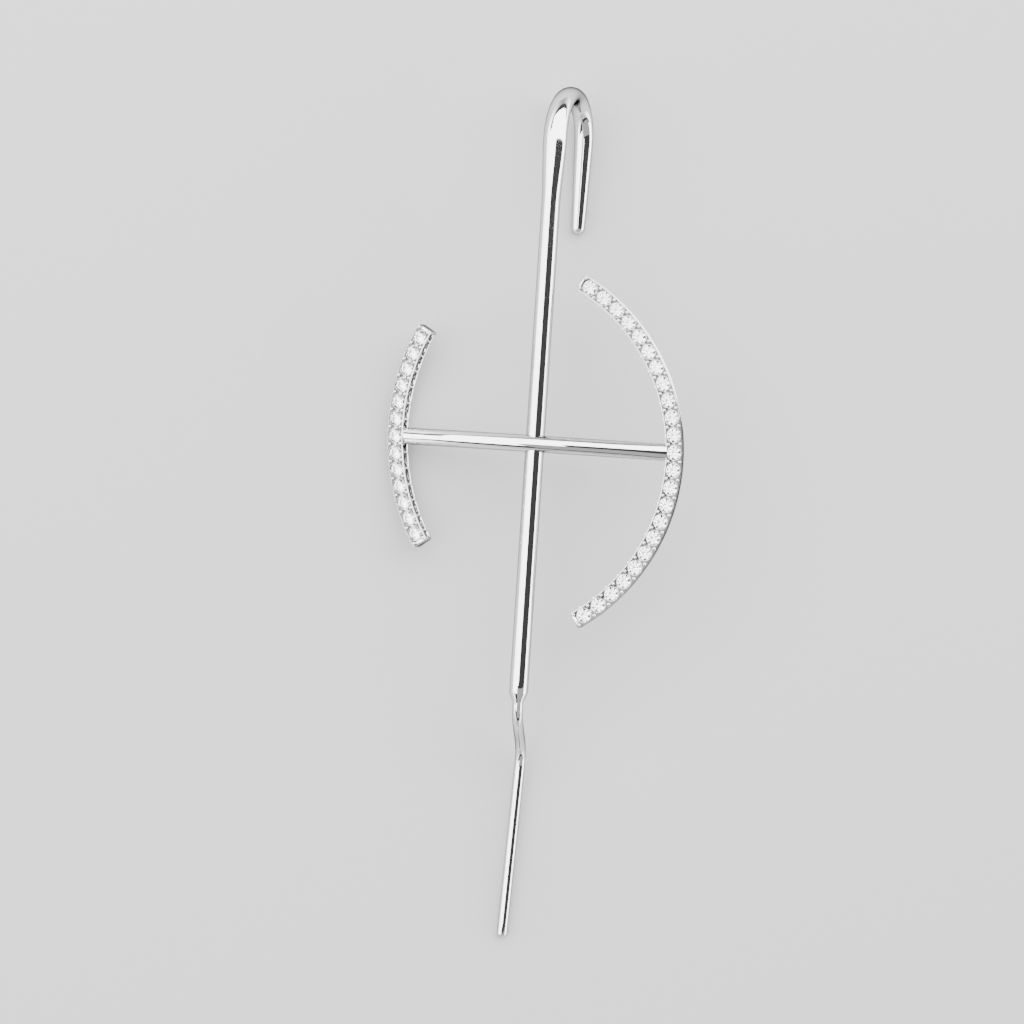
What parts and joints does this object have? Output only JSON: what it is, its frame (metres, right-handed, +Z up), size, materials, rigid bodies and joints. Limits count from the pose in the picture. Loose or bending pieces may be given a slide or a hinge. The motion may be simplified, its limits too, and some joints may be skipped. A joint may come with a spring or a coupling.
{
  "type": "ear cuff with a hook over the ear's rim and a post through the lobe",
  "caption": "Slim polished silver ear cuff: a long hooked rod with a bowed crossbar that carries two curved rows of round brilliants.",
  "frame": {"origin": "centre of the bounding box at its bottom, on the surface that the cuff lies on", "axes": "+Y along the rod towards the hook, +X along the crossbar towards the longer row of stones, +Z up, out of the stones' side"},
  "size_m": [0.0254, 0.076, 0.0099],
  "materials": {
    "silver": "mirror polished silver with a rhodium plating",
    "stone": "clear colourless stones, cut as round brilliants with polished facets"
  },
  "bodies": {
    "root": {"cuff_metal": "silver", "stone_left_01": "stone", "stone_left_02": "stone", "stone_left_03": "stone", "stone_left_04": "stone", "stone_left_05": "stone", "stone_left_06": "stone", "stone_left_07": "stone", "stone_left_08": "stone", "stone_left_09": "stone", "stone_left_10": "stone", "stone_left_11": "stone", "stone_left_12": "stone", "stone_left_13": "stone", "stone_right_01": "stone", "stone_right_02": "stone", "stone_right_03": "stone", "stone_right_04": "stone", "stone_right_05": "stone", "stone_right_06": "stone", "stone_right_07": "stone", "stone_right_08": "stone", "stone_right_09": "stone", "stone_right_10": "stone", "stone_right_11": "stone", "stone_right_12": "stone", "stone_right_13": "stone", "stone_right_14": "stone", "stone_right_15": "stone", "stone_right_16": "stone", "stone_right_17": "stone", "stone_right_18": "stone", "stone_right_19": "stone", "stone_right_20": "stone", "stone_right_21": "stone", "stone_right_22": "stone", "stone_right_23": "stone"}
  },
  "joints": []
}
